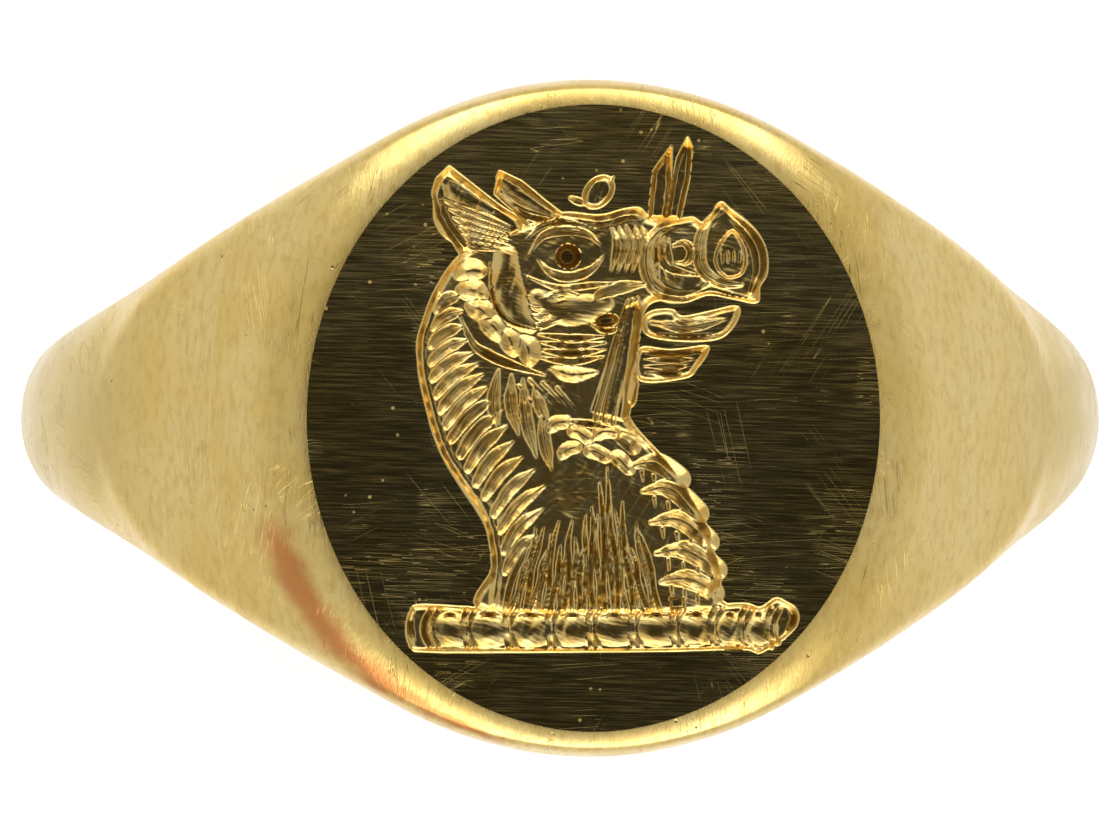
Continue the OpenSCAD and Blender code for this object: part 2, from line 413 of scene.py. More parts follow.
def inside_distance(outline, x, y):
    """Distance in from a closed outline, and 0 outside it."""
    loop = np.concatenate([outline, outline[:1]])
    near = np.full(x.shape, 1e9)
    odd = np.zeros(x.shape, bool)
    for (dist, _), a, b in zip(to_segments(loop, x, y), loop, loop[1:]):
        near = np.minimum(near, dist)
        if a[1] != b[1]:
            crosses = (a[1] > y) != (b[1] > y)
            odd ^= crosses & (x < (b[0] - a[0]) * (y - a[1]) / (b[1] - a[1]) + a[0])
    return np.where(odd, near, 0)


def pocket(points, deep, wall=0.08, bowl=0.0, smooth=True, add=False):
    """A hollow with sloping walls; bowl deepens it further towards its middle."""
    outline = curve(points, closed=True) if smooth else np.array(points, float)
    cells, x, y = window(outline, CELL)
    dist = inside_distance(outline, x, y)
    k = np.clip(dist / wall, 0, 1)
    hollow = deep * (1 - (1 - k) ** WALL_CURVE) + bowl * np.tanh(dist / BOWL_REACH)
    if add:
        depth[cells] += hollow
    else:
        depth[cells] = np.maximum(depth[cells], hollow)


def oval_outline(x, y, a, b, tilt=0):
    turn = np.linspace(0, 2 * pi, 20, endpoint=False)
    c, d = cos(radians(tilt)), sin(radians(tilt))
    return [(x + a * cos(k) * c - b * sin(k) * d, y + a * cos(k) * d + b * sin(k) * c) for k in turn]


def cut_hollows():
    """The sunk areas: head and neck, ears, horn bud, broken spear, jaws and twisted bar."""
    # head and neck
    pocket([
        (-1.95, -3.8), (-1.9, -2.9), (-2, -2.15), (-2.2, -1.7), (-2.55, -1.2), (-2.85, -0.75),
        (-3.05, -0.2), (-3.2, 0.3), (-3.3, 0.85), (-3.35, 1.4), (-3.25, 1.8), (-3, 2.45),
        (-2.55, 3.1), (-1.9, 3.5), (-1.2, 3.75), (-0.5, 3.95), (0.2, 3.9), (0.6, 4), (0.95, 4.05),
        (1.2, 3.85), (1.6, 3.8), (2, 3.85), (2.2, 3.75), (2.35, 3.85), (2.45, 4.1), (2.6, 4.15),
        (2.75, 3.95), (3.1, 3.7), (3.4, 3.3), (3.45, 2.8), (3.3, 2.5), (3.25, 2.2), (2.75, 2.28),
        (2.3, 2.38), (1.85, 2.22), (1.4, 2.25), (1.1, 2.1), (0.95, 1.6), (0.95, 0.9), (0.9, 0.3),
        (0.75, 0.1), (0.9, -0.2), (1.35, -0.7), (1.8, -1.25), (1.95, -1.55), (2.3, -2.15),
        (2.35, -2.5), (2.45, -2.7), (2.55, -3.2), (2.4, -3.4), (2.4, -3.8),
    ], 0.14, wall=0.16, bowl=0.14)
    # ears
    pocket([
        (-2.72, 4.86), (-2.98, 4.6), (-3.06, 4.32), (-2.95, 3.85), (-2.5, 3.1), (-2.05, 3.1),
        (-1.2, 3.6), (-1.35, 3.85), (-1.75, 4.1), (-2.2, 4.45),
    ], 0.18, wall=0.14, smooth=False)
    pocket([
        (-1.76, 4.77), (-1.86, 4.3), (-1.5, 4), (-1.2, 3.6), (-0.4, 3.85), (-0.9, 4.2), (-1.3, 4.55),
    ], 0.16, wall=0.12, smooth=False)
    # bud on the brow, with its stalk
    pocket(oval_outline(0.17, 4.34, 0.27, 0.37, -40), 0.14, wall=0.12)
    pocket([(0.3, 4.55), (0.5, 4.68), (0.4, 4.4)], 0.08, wall=0.05, smooth=False)
    # points of the spear, over the snout
    pocket([
        (1.12, 3.8), (1.22, 4.75), (1.32, 4.9), (1.6, 5.28), (1.58, 4.5), (1.5, 3.8),
    ], 0.16, wall=0.1, smooth=False)
    pocket([
        (1.46, 3.8), (1.58, 4.5), (1.68, 5), (1.9, 5.45), (2, 5.2), (1.94, 4.6), (1.76, 3.8),
    ], 0.16, wall=0.1, smooth=False)
    # jaws
    pocket([
        (1, 1.85), (1.2, 2.05), (1.6, 2.08), (1.8, 1.95), (2.35, 2.05), (2.8, 2.15), (2.92, 2.05),
        (2.8, 1.75), (2.5, 1.5), (1.85, 1.45), (1.15, 1.55),
    ], 0.12, wall=0.13)
    pocket([
        (0.95, 1.32), (1.6, 1.3), (2.25, 1.38), (2.3, 1.25), (2.1, 0.95), (1.85, 0.74), (0.95, 0.7),
    ], 0.12, wall=0.12)
    # shaft of the spear, under the snout
    pocket([(0.6, 2.2), (1.08, 2.38), (0.74, -0.2), (-0.16, 0)], 0.27, wall=0.16, smooth=False)
    # twisted bar
    pocket([
        (-3.3, -3.62), (-2.4, -3.66), (-1.6, -3.72), (1.4, -3.75), (2.3, -3.65), (3, -3.6),
        (3.3, -3.68), (3.6, -3.5), (3.82, -3.58), (4, -3.7), (4.06, -3.92), (3.92, -4.2),
        (3.5, -4.48), (3.2, -4.6), (2.95, -4.5), (0, -4.55), (-3.2, -4.55), (-3.5, -4.4),
        (-3.56, -4.05), (-3.48, -3.75),
    ], 0.12, wall=0.13)
    # pupil, and the corner of the mouth
    pocket(oval_outline(-0.4, 3.1, 0.24, 0.24), 0.4, wall=0.1, add=True)
    pocket(oval_outline(0.35, 1.86, 0.22, 0.13, 10), 0.22, wall=0.07, add=True)


def strokes(lines, width, deep, **extra):
    for line in lines:
        gouge(line, width, deep, **extra)


def cut_ears():
    for i in range(6):
        start, end = (-2.86 + 0.09 * i, 4.2 - 0.17 * i), (-1.5, 3.66 - 0.09 * i)
        gouge([start, (-2.2, 3.95 - 0.13 * i), end], 0.085, 0.13)
    strokes([
        [(-1.78, 4.25), (-1.2, 3.88), (-0.6, 3.8)],
        [(-1.7, 4.5), (-1.3, 4.3), (-0.8, 4.02)],
    ], 0.07, 0.12)
    gouge([(-2.95, 4.3), (-2.85, 3.8), (-2.5, 3.25)], 0.06, 0.08)
    gouge([(-2.75, 4.7), (-2.3, 4.35), (-1.75, 4), (-1.35, 3.75)], 0.07, 0.07)
    gouge([(-2.78, 4.6), (-2.45, 4.28), (-1.9, 4.0)], 0.24, 0.12, ends=(0.5, 0.4), power=2.0)
    gouge([(-1.72, 4.62), (-1.35, 4.32), (-0.75, 3.98)], 0.2, 0.12, ends=(0.5, 0.5), power=2.0)
    gouge([(-2.96, 4.25), (-2.8, 3.7), (-2.4, 3.3)], 0.16, 0.14, ends=(0.4, 0.4), power=2.0)


def cut_brow():
    gouge([(-0.5, 3.88), (0.2, 3.78), (0.75, 3.9), (1.1, 3.85)], 0.13, 0.12, ends=(0.4, 0.4))
    strokes([
        [(-1.15, 3.15), (-0.88, 3.5), (-0.45, 3.6), (-0.05, 3.54), (0.25, 3.3)],
        [(-1, 3.05), (-0.75, 2.8), (-0.38, 2.7), (0.04, 2.84), (0.3, 3.12)],
    ], 0.1, 0.14)
    gouge([(-1.25, 3.4), (-0.85, 3.72), (-0.3, 3.76), (0.25, 3.58)], 0.07, 0.1)
    for i in range(5):
        gouge([(0.42 + 0.15 * i, 3.7), (0.55 + 0.14 * i, 3.3), (0.42 + 0.14 * i, 2.8)], 0.085, 0.12)
    for i in range(4):
        gouge([(-0.04 + 0.12 * i, 4.14 + 0.03 * i), (0.12 + 0.11 * i, 4.54 - 0.02 * i)], 0.06, 0.12)
    gouge([(-0.36, 4.22), (-0.22, 4.16), (-0.05, 4.12)], 0.08, 0.12, ends=(0.7, 0.4))


def cut_cheek():
    gouge([(-1.3, 2.75), (-0.6, 2.5), (0.1, 2.55), (0.6, 2.6)], 0.07, 0.1)
    gouge([(-1.62, 3.1), (-1.6, 2.55), (-1.42, 2.0), (-1.15, 1.75)], 0.34, 0.16, ends=(0.7, 0.5), power=2.0)
    gouge([(-1.0, 2.3), (-0.5, 2.05), (0.0, 2.1), (0.35, 2.2)], 0.3, 0.14, ends=(0.6, 0.5), power=2.0)
    for i in range(4):
        y = 2.36 - 0.17 * i
        gouge([(-1.3 + 0.05 * i, y), (-0.95, y - 0.09), (-0.5, y + 0.05), (-0.15, y - 0.02)], 0.08, 0.11)
    lobes = ((-2.3, 2.78, 100), (-2.26, 2.4, 80), (-2.1, 2.02, 60), (-1.86, 1.7, 45), (-1.55, 1.45, 30),
             (-1.2, 1.28, 15))
    for x, y, tilt in lobes:
        c, d = cos(radians(tilt)), sin(radians(tilt))
        gouge([(x - 0.2 * d, y + 0.2 * c), (x + 0.05 * c, y + 0.05 * d), (x + 0.2 * d, y - 0.2 * c)],
              0.23, 0.22, ends=(0.6, 0.6))
    gouge([(-1.92, 2.98), (-1.85, 2.3), (-1.62, 1.9), (-1.2, 1.72), (-0.9, 1.68)], 0.06, 0.2)
    gouge([(-2.5, 1.95), (-2.25, 1.42), (-1.95, 1.2), (-1.65, 1.06), (-1.3, 0.94), (-0.85, 0.8)], 0.1, 0.18)
    gouge([(-0.2, 1.95), (0.25, 2.36), (0.7, 2.52), (1.2, 2.58)], 0.13, 0.17)
    gouge([(0, 1.8), (0.35, 1.66), (0.66, 1.74)], 0.06, 0.14)
    for i in range(4):
        gouge([(-1.02, 1.6 - 0.15 * i), (-0.35, 1.52 - 0.15 * i), (0.35, 1.56 - 0.13 * i)], 0.075, 0.13)
    gouge([(-0.8, 0.96), (-0.35, 0.82), (0.15, 0.86)], 0.16, 0.14, ends=(0.1, 0.3))


def cut_snout():
    gouge([
        (1.98, 3.8), (1.45, 3.66), (1.14, 3.3), (1.14, 2.76), (1.38, 2.42), (1.72, 2.32), (2.05, 2.38),
        (2.32, 2.58),
    ], 0.15, 0.16, ends=(0.5, 0.3))
    gouge([(1.5, 3.32), (1.42, 3.02), (1.66, 2.84), (2.2, 2.72)], 0.08, 0.14)
    for i in range(3):
        start, end = (1.4 + 0.08 * i, 3.58 - 0.05 * i), (1.36 + 0.16 * i, 2.62 + 0.04 * i)
        gouge([start, (1.3 + 0.12 * i, 3.2), end], 0.06, 0.1)
    gouge([(1.62, 3.3), (1.85, 3.36), (1.98, 3.2), (1.9, 3), (1.68, 2.98)], 0.08, 0.12, ends=(0.4, 0.3))
    gouge([
        (2.55, 4), (2.24, 3.66), (2.14, 3.2), (2.24, 2.8), (2.6, 2.58), (2.95, 2.56),
    ], 0.13, 0.15, ends=(0.6, 0.4))
    gouge([(2.6, 4.02), (2.98, 3.68), (3.24, 3.3), (3.3, 2.86), (3.14, 2.42)], 0.15, 0.16, ends=(0.6, 0.4))
    pocket([(2.76, 3.62), (2.5, 3.3), (2.44, 2.95), (2.66, 2.68), (2.98, 2.76), (3.06, 3.1), (2.94, 3.45)],
           0.08, wall=0.06, add=True)
    for i in range(4):
        start, end = (2.54 + 0.13 * i, 3.4 - 0.03 * i), (2.58 + 0.12 * i, 2.78)
        gouge([start, (2.6 + 0.11 * i, 3.1), end], 0.065, 0.16)
    gouge([(1.2, 2.48), (1.6, 2.32), (1.86, 2.28), (2.3, 2.42), (2.75, 2.34), (3.2, 2.26)], 0.07, 0.13)


def cut_jaws():
    gouge([(1.2, 1.82), (1.9, 1.74), (2.7, 1.9)], 0.12, 0.12, ends=(0.4, 0.2))
    gouge([(1.1, 1.62), (1.9, 1.54), (2.5, 1.62)], 0.06, 0.08)
    for i in range(4):
        gouge([(1, 1.24 - 0.13 * i), (1.6, 1.22 - 0.13 * i), (2.2 - 0.13 * i, 1.25 - 0.13 * i)], 0.06, 0.1)


def cut_spear():
    for k in (0.3, 0.5, 0.7):
        foot = (mix(-0.12, 0.7, k), mix(0, -0.2, k))
        tip = (mix(0.62, 1.06, k), mix(2.2, 2.35, k))
        gouge([foot, tip], 0.09, 0.12, ends=(0.7, 0.5))
    gouge([(0.42, 0.1), (0.72, 1.2), (0.86, 2.2)], 0.16, 0.07, ends=(0.8, 0.5), power=2.0)
    strokes([
        [(1.25, 3.9), (1.36, 4.85)], [(1.38, 3.9), (1.5, 5)],
        [(1.6, 3.9), (1.75, 4.8)], [(1.7, 4.1), (1.88, 5.2)], [(1.78, 3.9), (1.86, 4.7)],
    ], 0.05, 0.07)
    gouge([(0.9, 0.62), (0.8, 0.25)], 0.1, 0.08, ends=(0.6, 0.3))


def cut_mane():
    edge = [(-2.95, 2.35), (-3.2, 1.6), (-3.22, 0.9), (-3.05, 0.2), (-2.92, -0.3), (-2.7, -0.8), (-2.4, -1.3),
            (-2.1, -1.75), (-1.88, -2.2), (-1.78, -2.9), (-1.84, -3.6)]
    gouge(edge, 0.13, 0.1, ends=(0.6, 0.8))
    leaves = (
        ((-2.95, 2.05), (-2.45, 2.35)), ((-3, 1.72), (-2.42, 2.05)), ((-3.05, 1.38), (-2.4, 1.75)),
        ((-3.06, 1.05), (-2.3, 1.5)), ((-3.05, 0.72), (-2.2, 1.25)), ((-2.98, 0.4), (-2.1, 1.05)),
        ((-2.9, 0.1), (-2, 0.85)), ((-2.78, -0.18), (-1.9, 0.62)), ((-2.68, -0.45), (-1.78, 0.38)),
        ((-2.5, -0.75), (-1.66, 0.12)), ((-2.36, -1.02), (-1.55, -0.15)), ((-2.2, -1.3), (-1.42, -0.45)),
        ((-2.02, -1.55), (-1.25, -0.75)), ((-1.86, -1.9), (-1, -0.98)), ((-1.72, -2.2), (-0.8, -1.3)),
        ((-1.66, -2.6), (-0.85, -1.75)), ((-1.64, -3), (-0.95, -2.25)),
    )
    for a, b in leaves:
        bend = ((a[0] + b[0]) / 2 - 0.06, (a[1] + b[1]) / 2 + 0.07)
        gouge([a, bend, b], 0.13, 0.15, ends=(0.7, 0.1))
    blades = (
        ((-1.75, 0.9), (-1.85, 0.3), (-1.75, -0.25)), ((-1.5, 0.8), (-1.5, 0.2), (-1.35, -0.4)),
        ((-1.28, 0.72), (-1.2, -0.1), (-1, -0.85)), ((-1.05, 0.6), (-0.95, 0.2), (-0.78, -0.15)),
        ((-0.9, 0.1), (-0.85, -0.5), (-0.7, -1.1)),
    )
    for blade in blades:
        gouge(blade, 0.13, 0.15, ends=(0.3, 0.1))
    for x0, y0, x1, y1 in ((-1.35, 0.6, -0.8, -0.15), (-1.15, 0.72, -0.55, 0.1), (-0.9, 0.66, -0.38, 0.12),
                           (-0.62, 0.56, -0.18, 0.06), (-1.45, 0.2, -1.1, -0.4)):
        gouge([(x0, y0), (x1, y1)], 0.1, 0.12, ends=(0.5, 0.1))


def cut_collar():
    lumps = (
        (-0.62, -0.2, 30, 0.4), (-0.2, -0.36, -20, 0.4), (0.3, -0.36, 15, 0.45), (0.72, -0.52, -35, 0.35),
        (-0.4, -0.72, 40, 0.4), (0.12, -0.74, -10, 0.4), (0.62, -0.88, -40, 0.4),
    )
    for x, y, tilt, size in lumps:
        dx, dy = size * cos(radians(tilt)) / 2, size * sin(radians(tilt)) / 2
        gouge([(x - dx, y - dy), (x - 0.03, y + 0.07), (x + dx, y + dy)], 0.15, 0.16, ends=(0.3, 0.9))
    gouge([(-0.7, -0.02), (-0.2, -0.12), (0.3, -0.18), (0.92, -0.36)], 0.08, 0.13)
    gouge([(-0.4, -0.95), (-0.25, -1.5), (-0.1, -2.0)], 0.36, 0.05, ends=(1.0, 0.2))


def cut_fur():
    for i in range(24):
        x = -1.66 + 0.132 * i
        rise = max(0, 1 - abs(x - 0.42) / 0.62)
        top = -2.3 - 0.3 * sin(1.9 * i) + 1.15 * rise
        lean = mix(0.12, -0.1, (x + 1.66) / 3.1)
        line = []
        for j in range(5):
            wave = 0.035 * sin(2.4 * i + 1.9 * j)
            line.append((x + lean * (4 - j) + wave, mix(top, -3.74, j / 4)))
        gouge(line, 0.064, 0.12 + 0.03 * sin(3.1 * i), ends=(0.3, 0.8))


def cut_shells():
    shells = (
        (0.85, -0.95, 1.75, -1.3), (1.05, -1.45, 2.1, -1.95), (1.2, -2.05, 2.3, -2.5),
        (1.3, -2.65, 2.45, -3.05), (1.4, -3.2, 2.4, -3.5),
    )
    for x0, y0, x1, y1 in shells:
        crown = (mix(x0, x1, 0.5), y0 + 0.06)
        gouge([(x0, y0), crown, (x1, y1 + 0.12), (x1 + 0.02, y1)], 0.2, 0.22, ends=(0.3, 0.6))
        for k in (0.25, 0.5, 0.75):
            x, y = mix(x0, x1, k), mix(y0, y1, k * k)
            gouge([(x - 0.05, y - 0.08), (x - 0.02, y - 0.34)], 0.055, 0.1, ends=(0.7, 0.2))
    gouge([(0.95, -0.35), (1.35, -0.8), (1.8, -1.38), (2.15, -2.05)], 0.08, 0.1)
    gouge([(2.2, -2.2), (2.28, -2.6), (2.4, -3), (2.32, -3.5)], 0.07, 0.1)
    pocket([(1.55, -3.5), (1.85, -3.48), (1.87, -3.72), (1.58, -3.74)], 0.12, 0.05, smooth=False, add=True)


def cut_bar():
    twists = (-3.05, -2.34, -1.54, -0.72, 0.07, 0.89, 1.69, 2.44, 3.02, 3.55)
    for a, b in zip(twists, twists[1:]):
        middle = mix(a, b, 0.5)
        gouge([(a + 0.16, -4.1), (middle, -4.14), (b - 0.16, -4.1)], 0.36, 0.2, ends=(0.8, 0.8), power=2.0)
        gouge([(a + 0.2, -3.86), (middle, -3.84), (b - 0.2, -3.88)], 0.06, 0.2)
    for twist in twists:
        for x in (twist - 0.08, twist + 0.08):
            bow = [(x + 0.07, -3.72), (x - 0.05, -3.95), (x - 0.06, -4.2), (x + 0.06, -4.46)]
            gouge(bow, 0.075, 0.15, ends=(0.7, 0.7))
    gouge([(-3.35, -4.46), (-1, -4.48), (1.5, -4.48), (2.95, -4.44), (3.3, -4.52), (3.8, -4.2)], 0.06, 0.1)
    gouge([(3.86, -3.72), (3.96, -3.92), (3.8, -4.18)], 0.07, 0.12)
    gouge([(-3.42, -3.75), (-3.46, -4.05), (-3.36, -4.4)], 0.07, 0.1)


def cut_striations():
    """The unevenness that the graver leaves on the floor of every cut: broad swells and fine chatter."""
    x, y = np.meshgrid(grid_x, grid_y)
    lean = np.sin(2.1 * x + 1.3 * y) + np.sin(2.7 * y - 1.6 * x)
    swell = np.sin(8.5 * x + 2 * lean) * np.sin(7.5 * y - 1.5 * lean)
    ripple = np.sin(17 * x + 9 * y + 3 * lean) * np.sin(15 * y - 7 * x - 2 * lean)
    chatter = np.sin(70 * y + 24 * x + 5 * lean) * np.sin(5 * x - 4 * y + lean)
    rough = SWELL * swell + RIPPLE * ripple + CHATTER * chatter
    np.add(depth, rough * np.clip((depth - 0.06) / 0.08, 0, 1), out=depth)


def cut_crest():
    cut_hollows()
    floor[:] = depth
    for cut in (
        cut_ears, cut_brow, cut_cheek, cut_snout, cut_jaws, cut_spear, cut_mane, cut_collar, cut_fur,
        cut_shells, cut_bar, cut_striations,
    ):
        cut()


def grown(mask, steps):
    """The mask with its edge moved out by this many cells."""
    for _ in range(steps):
        wide = mask.copy()
        wide[1:] |= mask[:-1]
        wide[:-1] |= mask[1:]
        wide[:, 1:] |= mask[:, :-1]
        wide[:, :-1] |= mask[:, 1:]
        mask = wide
    return mask


def table_plate_piece():
    """Fine facets where there are cuts; the flat round them is filled with large ones."""
    cut_crest()
    across, up = grid_x + DRAWING_AT[0], grid_y + DRAWING_AT[1]
    x, y = np.meshgrid(across, up)
    inside = 1 - (x / plate_a) ** 2 - (y / plate_b) ** 2
    np.multiply(depth, inside > UNCUT, out=depth)
    deep = depth > 0
    cells = deep[:-1, :-1] | deep[1:, :-1] | deep[:-1, 1:] | deep[1:, 1:]
    cells = grown(cells, 2)
    rows, cols = cells.shape
    used = np.zeros(depth.shape, bool)
    for dy in (0, 1):
        for dx in (0, 1):
            used[dy:rows + dy, dx:cols + dx] |= cells
    number = np.full(depth.shape, -1)
    number[used] = np.arange(used.sum())
    points = np.stack([x[used], y[used], table_z - depth[used]], -1)
    cy, cx = np.nonzero(cells)
    quads = np.stack([number[cy, cx], number[cy, cx + 1], number[cy + 1, cx + 1], number[cy + 1, cx]], -1)
    # the border between the fine facets and the flat, one side of the cells after the other
    sides = (
        (-1, 0, (0, 0), (0, 1)), (1, 0, (1, 0), (1, 1)), (0, -1, (0, 0), (1, 0)), (0, 1, (0, 1), (1, 1)),
    )
    padded = np.pad(cells, 1)
    edges = []
    for dy, dx, a, b in sides:
        border = cells & ~padded[1 + dy:rows + 1 + dy, 1 + dx:cols + 1 + dx]
        by, bx = np.nonzero(border)
        edges.append(np.stack([number[by + a[0], bx + a[1]], number[by + b[0], bx + b[1]]], -1))
    edges = np.concatenate(edges)
    rim_ids = np.unique(edges)
    local = {int(v): i for i, v in enumerate(rim_ids)}
    rim = oval_ring(plate_a, plate_b, table_z)
    flat = [Vector(points[v][:2]) for v in rim_ids] + [Vector(p[:2]) for p in rim]
    n = len(rim_ids)
    lines = [(local[int(a)], local[int(b)]) for a, b in edges]
    lines += [(n + i, n + (i + 1) % OVAL_STEPS) for i in range(OVAL_STEPS)]
    out, _, tris, origin, _, _ = delaunay_2d_cdt(flat, lines, [], 0, 1e-6)
    start = len(points)
    points = np.concatenate([points, rim, oval_ring(plate_a, plate_b, plate_z)])
    ids = []
    for i, sources in enumerate(origin):
        v = sources[0]
        ids.append(int(rim_ids[v]) if v < n else start + v - n)
    faces = quads.tolist()
    for tri in tris:
        middle_x = sum(out[i][0] for i in tri) / 3
        middle_y = sum(out[i][1] for i in tri) / 3
        column, row = int((middle_x - across[0]) // CELL), int((middle_y - up[0]) // CELL)
        if 0 <= row < rows and 0 <= column < cols and cells[row, column]:
            continue
        faces.append([ids[i] for i in tri])
    faces += grid_faces(2, OVAL_STEPS, start, closed=True)
    faces.append(tuple(range(start + OVAL_STEPS, start + 2 * OVAL_STEPS)))
    return make_object("engraved_table", points, faces)


# ---------------------------------------------------------------- materials
class Nodes:
    """Short way of writing the nodes of a material or of the world."""

    def __init__(self, owner, coordinates):
        owner.use_nodes = True
        self.owner = owner
        self.tree = owner.node_tree
        self.place = self.add("ShaderNodeTexCoord").outputs[coordinates]

    def add(self, kind, **settings):
        node = self.tree.nodes.new(kind)
        for key, value in settings.items():
            setattr(node, key, value)
        return node

    def feed(self, socket, value):
        if isinstance(value, bpy.types.NodeSocket):
            self.tree.links.new(value, socket)
        else:
            socket.default_value = value

    def math(self, operation, a, b=0.0):
        node = self.add("ShaderNodeMath", operation=operation)
        self.feed(node.inputs[0], a)
        self.feed(node.inputs[1], b)
        return node.outputs[0]

    def fade(self, value, low, high, to_low=0.0, to_high=1.0):
        node = self.add("ShaderNodeMapRange", interpolation_type="SMOOTHSTEP")
        for i, v in enumerate((value, low, high, to_low, to_high)):
            self.feed(node.inputs[i], v)
        return node.outputs[0]

    def moved(self, scale=(1, 1, 1), turn=0.0, shift=(0, 0, 0)):
        turned = self.add("ShaderNodeMapping")
        self.feed(turned.inputs["Vector"], self.place)
        turned.inputs["Rotation"].default_value = (0, 0, radians(turn))
        node = self.add("ShaderNodeMapping")
        self.feed(node.inputs["Vector"], turned.outputs[0])
        node.inputs["Scale"].default_value = [v / MM for v in scale]
        node.inputs["Location"].default_value = shift
        return node.outputs[0]

    def noise(self, vector, detail=3.0, rough=0.5):
        node = self.add("ShaderNodeTexNoise")
        self.feed(node.inputs["Vector"], vector)
        node.inputs["Scale"].default_value = 1.0
        node.inputs["Detail"].default_value = detail
        node.inputs["Roughness"].default_value = rough
        return node.outputs["Fac"]

    def blend(self, factor, a, b):
        node = self.add("ShaderNodeMix", data_type="RGBA")
        self.feed(node.inputs[0], factor)
        self.feed(node.inputs[6], a if isinstance(a, bpy.types.NodeSocket) else (*a, 1))
        self.feed(node.inputs[7], b if isinstance(b, bpy.types.NodeSocket) else (*b, 1))
        return node.outputs[2]

    def scratches(self, turn, shift, fine=9.0, long=0.35, thin=0.012, gaps=0.55):
        """Hair lines: thin contours of a stretched noise, broken up by a second noise."""
        line = self.noise(self.moved((long, fine, 1), turn, shift), 1.0)
        near = self.math("ABSOLUTE", self.math("SUBTRACT", line, 0.5))
        hair = self.fade(near, 0.0, thin, 1.0, 0.0)
        broken = self.fade(self.noise(self.moved((0.5, 0.5, 0.5), turn, shift), 2.0), gaps, gaps + 0.08)
        return self.math("MULTIPLY", hair, broken)

    def pits(self, size, share, shift):
        node = self.add("ShaderNodeTexVoronoi")
        self.feed(node.inputs["Vector"], self.moved((1 / size,) * 3, 0, shift))
        node.inputs["Scale"].default_value = 1.0
        spot = self.fade(node.outputs["Distance"], 0.05, 0.14, 1.0, 0.0)
        few = self.fade(self.noise(self.moved((0.8,) * 3, 0, shift), 1.0), 1 - share, 1.02 - share)
        return self.math("MULTIPLY", spot, few)

    def bump(self, height, distance, strength=1.0, normal=None):
        node = self.add("ShaderNodeBump")
        node.inputs["Strength"].default_value = strength
        node.inputs["Distance"].default_value = distance * MM
        self.feed(node.inputs["Height"], height)
        if normal is not None:
            self.feed(node.inputs["Normal"], normal)
        return node.outputs[0]

    def axes(self):
        node = self.add("ShaderNodeSeparateXYZ")
        self.feed(node.inputs[0], self.place)
        return node.outputs

    def axes_mm(self):
        return [self.math("MULTIPLY", out, 1 / MM) for out in self.axes()]


class Material(Nodes):
    def __init__(self, name, metallic=1.0):
        super().__init__(bpy.data.materials.new(name), "Object")
        self.shader = self.tree.nodes["Principled BSDF"]
        self.put("Metallic", metallic)

    def put(self, name, value):
        self.feed(self.shader.inputs[name], value)


GOLD = (0.80, 0.575, 0.175)
GOLD_PALE = (0.84, 0.64, 0.25)
# dark gold: a darker tone in the grain and scratches, and the painted shade deep in the cuts
GOLD_DARK_AND_PAINTED_SHADE = (0.62, 0.40, 0.10)
GOLD_CUT = (0.86, 0.56, 0.15)
# colour of the painted shade at the band's far ends
GOLD_PAINTED_SHADE = (0.58, 0.46, 0.20)
# colour of a painted coppery reflection on the lower-left rim
PAINTED_REFLECTION_TINT = (0.56, 0.21, 0.06)
# dark colour drawn into the pits
PIT_DARK_TONE = (0.10, 0.07, 0.025)


def painted_reflection_streak(n, x, y):
    """Mask of the painted coppery reflection that runs along the rim at the lower left and out from it."""
    along = n.fade(x, -7.0, -1.4, 1.0, 0.0)
    share_x = n.math("POWER", n.math("DIVIDE", x, rim_a), 2.0)
    share_y = n.math("POWER", n.math("DIVIDE", y, rim_b), 2.0)
    reach = n.math("SQRT", n.math("ADD", share_x, share_y))
    middle = n.math("ADD", n.math("MULTIPLY", along, 0.085), 0.99)
    ragged = n.math("MULTIPLY", n.math("SUBTRACT", n.noise(n.moved((1.5,) * 3), 4.0), 0.5), 0.07)
    off = n.math("ABSOLUTE", n.math("ADD", n.math("SUBTRACT", reach, middle), ragged))
    wide = n.math("ADD", n.math("MULTIPLY", along, 0.04), 0.012)
    mask = n.fade(n.math("DIVIDE", off, wide), 0.1, 1.5, 1.0, 0.0)
    mask = n.math("MULTIPLY", mask, n.fade(y, -1.6, -2.6))
    return n.math("MULTIPLY", mask, n.fade(x, -1.2, -2.4))


